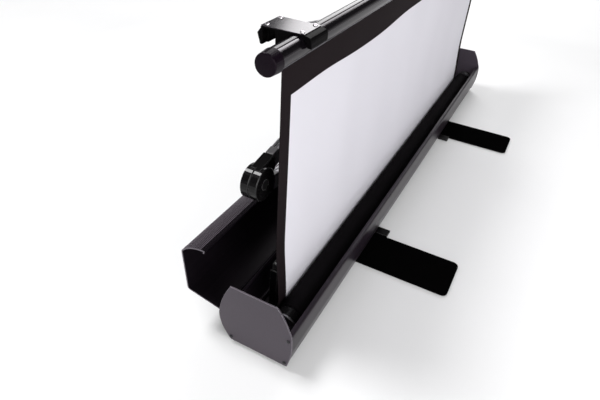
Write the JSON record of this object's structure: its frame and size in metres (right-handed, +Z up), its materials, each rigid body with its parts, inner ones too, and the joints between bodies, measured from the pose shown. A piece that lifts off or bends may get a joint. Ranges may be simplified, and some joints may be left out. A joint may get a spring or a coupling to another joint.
{
  "type": "pull up projection screen",
  "caption": "Portable projection screen raised by a double scissor of metal arms from a long open case with a hinged lid, a cloth roller and swing-out feet",
  "frame": {"origin": "middle of the case at floor level, below the pivots of the two feet", "axes": "+X along the case from the left to the right as seen from the audience, +Y to the back of the screen, +Z up"},
  "size_m": [1.1798, 0.43, 0.4585],
  "materials": {
    "case_paint": "satin",
    "plate_paint": "satin",
    "cloth_white": "matte",
    "cloth_black": "matte",
    "black_plastic": "satin",
    "black_gloss": "gloss",
    "cap_black": "matte",
    "black_metal": "satin",
    "bar_grey": "satin",
    "grey_metal": "satin",
    "collar_grey": "matte",
    "zinc": "satin",
    "dark_steel": "satin",
    "spring_steel": "satin",
    "rubber": "matte"
  },
  "bodies": {
    "case": {"base_shell": "case_paint", "end_plate_left": "plate_paint", "end_plate_right": "plate_paint", "plate_screw_rear_left": "dark_steel", "plate_screw_bottom_left": "dark_steel", "plate_screw_front_left": "dark_steel", "plate_screw_rear_right": "dark_steel", "plate_screw_bottom_right": "dark_steel", "plate_screw_front_right": "dark_steel", "roller_bracket_left": "black_metal", "roller_bracket_right": "black_metal", "base_bracket_left": "black_metal", "base_pin_left": "zinc", "base_rail": "grey_metal", "foot_mount_left": "black_metal", "foot_mount_right": "black_metal"},
    "lid": {"lid_shell": "case_paint", "carry_handle": "black_plastic"},
    "foot_left": {"foot_left": "black_metal", "foot_sole_left": "rubber"},
    "foot_right": {"foot_right": "black_metal", "foot_sole_right": "rubber"},
    "roller": {"roller_tube": "grey_metal", "cloth_roll": "cloth_black", "roller_plug_left": "black_plastic", "roller_plug_right": "black_plastic", "roller_cap_left": "grey_metal", "roller_cap_right": "grey_metal", "roller_spring": "spring_steel"},
    "cloth": {"screen_cloth": "cloth_white"},
    "arm_a1": {"arm_a1_tube": "grey_metal", "arm_a1_end": "black_plastic", "arm_a1_collar": "collar_grey", "arm_a1_knuckle": "black_plastic", "lower_center_pin": "zinc", "knuckle_pin_right": "zinc"},
    "arm_b1": {"arm_b1_tube": "grey_metal", "arm_b1_end": "black_plastic", "arm_b1_collar": "collar_grey", "arm_b1_knuckle": "black_plastic", "knuckle_pin_left": "zinc"},
    "arm_b2": {"arm_b2_tube": "grey_metal", "arm_b2_end": "black_plastic", "arm_b2_collar": "collar_grey", "arm_b2_knuckle": "black_plastic", "upper_center_pin": "zinc"},
    "arm_a2": {"arm_a2_tube": "grey_metal", "arm_a2_end": "black_plastic", "arm_a2_collar": "collar_grey", "arm_a2_knuckle": "black_plastic"},
    "carriage": {"base_carriage": "black_plastic", "base_pin_right": "zinc"},
    "bar": {"top_bar": "bar_grey", "bar_cap_left": "cap_black", "bar_cap_right": "cap_black", "top_bracket_left": "black_plastic", "bracket_cover_left": "black_gloss", "pull_handle": "black_plastic"},
    "slider": {"top_bracket_right": "black_plastic", "bracket_cover_right": "black_gloss"}
  },
  "joints": [
    {"name": "lift", "type": "hinge", "parent": "case", "child": "arm_a1", "pos_m": [-0.481, 0.0283, 0.0768], "axis": [0, -1, 0], "range_deg": [-9.6, 15.15]},
    {"name": "lower_cross", "type": "hinge", "parent": "arm_a1", "child": "arm_b1", "pos_m": [0, 0.043, 0.16465], "axis": [0, -1, 0], "range_deg": [-30.3, 19.2]},
    {"name": "base_right", "type": "hinge", "parent": "arm_b1", "child": "carriage", "pos_m": [0.481, 0.043, 0.0768], "axis": [0, -1, 0], "range_deg": [-9.6, 15.15]},
    {"name": "knuckle_right", "type": "hinge", "parent": "arm_a1", "child": "arm_b2", "pos_m": [0.52133, 0.0283, 0.25986], "axis": [0, -1, 0], "range_deg": [-30.3, 19.2]},
    {"name": "top_left", "type": "hinge", "parent": "arm_b2", "child": "bar", "pos_m": [-0.481, 0.0283, 0.44292], "axis": [0, -1, 0], "range_deg": [-9.6, 15.15]},
    {"name": "knuckle_left", "type": "hinge", "parent": "arm_b1", "child": "arm_a2", "pos_m": [-0.52133, 0.043, 0.25986], "axis": [0, -1, 0], "range_deg": [-19.2, 30.3]},
    {"name": "top_right", "type": "hinge", "parent": "arm_a2", "child": "slider", "pos_m": [0.481, 0.043, 0.44292], "axis": [0, -1, 0], "range_deg": [-15.15, 9.6]},
    {"name": "cloth_draw", "type": "slide", "parent": "case", "child": "cloth", "axis": [0, 0, 1], "range_m": [-0.3298, 0.5202], "deforming": ["screen_cloth"]},
    {"name": "roller_spin", "type": "hinge", "parent": "case", "child": "roller", "pos_m": [0, -0.0216, 0.0448], "axis": [1, 0, 0], "range_deg": [-920, 1445]},
    {"name": "lid_hinge", "type": "hinge", "parent": "case", "child": "lid", "pos_m": [0, 0.0621, 0.05855], "axis": [1, 0, 0], "range_deg": [0, 16]},
    {"name": "foot_swing_left", "type": "hinge", "parent": "case", "child": "foot_left", "pos_m": [-0.28042, 0, 0.0012], "axis": [0, 0, 1], "range_deg": [-90, 0]},
    {"name": "foot_swing_right", "type": "hinge", "parent": "case", "child": "foot_right", "pos_m": [0.28042, 0, 0.0012], "axis": [0, 0, 1], "range_deg": [0, 90]}
  ],
  "couplings": [
    {"joint": "lower_cross", "follows": "lift", "ratio": -2},
    {"joint": "base_right", "follows": "lift", "ratio": 1},
    {"joint": "knuckle_right", "follows": "lift", "ratio": -2},
    {"joint": "top_left", "follows": "lift", "ratio": 1},
    {"joint": "knuckle_left", "follows": "lift", "ratio": 2},
    {"joint": "top_right", "follows": "lift", "ratio": -1},
    {"joint": "cloth_draw", "follows": "lift", "m_per_rad": 1.965},
    {"joint": "roller_spin", "follows": "lift", "ratio": 94.928}
  ]
}
